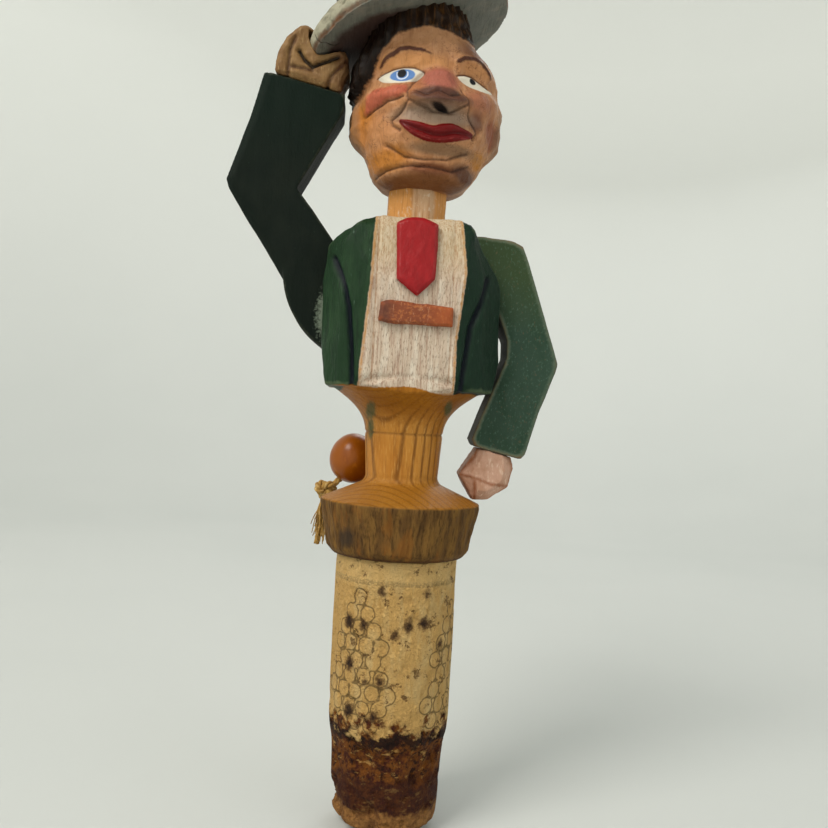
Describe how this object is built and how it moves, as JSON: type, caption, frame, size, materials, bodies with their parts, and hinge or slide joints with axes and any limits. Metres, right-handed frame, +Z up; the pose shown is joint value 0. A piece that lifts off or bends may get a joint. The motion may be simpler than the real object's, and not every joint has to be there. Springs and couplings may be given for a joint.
{
  "type": "carved bottle stopper",
  "caption": "Carved wooden bottle stopper: a gentleman on a cork who raises his hat with a hinged arm worked by a pull cord.",
  "frame": {"origin": "centre of the collar's underside, where the stopper sits on the bottle's mouth", "axes": "+Z up the stopper's axis from cork to hat, the figure's face looks along -Y, his raised arm is on -X"},
  "size_m": [0.0593, 0.036, 0.1542],
  "materials": {
    "cork": "natural cork, printed and wine-stained",
    "beech_dowel": "plain turned dowel",
    "varnished_pine": "carved, varnished, coat painted green and shirt cream",
    "red_paint": "red brushed paint on wood",
    "russet_paint": "thin russet paint on wood",
    "whittled_peg": "whittled facets, stained",
    "tinted_face_wood": "carved, stained and painted",
    "sleeve_green": "dark green satin paint, worn at the edges",
    "hand_wood": "carved facets, pink-cream stain",
    "steel_wire": "drawn wire",
    "grey_hat_paint": "grey paint, worn to the wood at the rim",
    "lacquered_bead": "orange-brown gloss lacquer",
    "straw_cord": "twisted plant-fibre cord"
  },
  "bodies": {
    "figure": {"cork": "cork", "cork_dowel": "beech_dowel", "carved_body": "varnished_pine", "necktie": "red_paint", "chest_bar": "russet_paint", "neck_peg": "whittled_peg", "head": "tinted_face_wood", "hip_sleeve": "sleeve_green", "hip_hand": "hand_wood", "hip_hand_peg": "beech_dowel", "hip_nails": "steel_wire", "arm_pin": "steel_wire", "inner_cord": "straw_cord"},
    "hat_arm": {"raised_sleeve": "sleeve_green", "raised_hand": "hand_wood", "raised_hand_peg": "beech_dowel", "hat": "grey_hat_paint", "hat_nail": "steel_wire", "arm_cord_knot": "straw_cord"},
    "pull": {"pull_cord": "straw_cord", "cord_bead": "lacquered_bead", "cord_knot": "straw_cord", "frayed_tail": "straw_cord"}
  },
  "joints": [
    {"name": "arm_lift", "type": "hinge", "parent": "figure", "child": "hat_arm", "pos_m": [-0.007, 0.0014, 0.048], "axis": [0, -1, 0], "range_deg": [0, 35]},
    {"name": "cord_pull", "type": "slide", "parent": "figure", "child": "pull", "axis": [-0.5447, 0.5848, -0.6011], "range_m": [0, 0.0067]}
  ],
  "couplings": [
    {"joint": "cord_pull", "follows": "arm_lift", "m_per_rad": 0.0108}
  ]
}
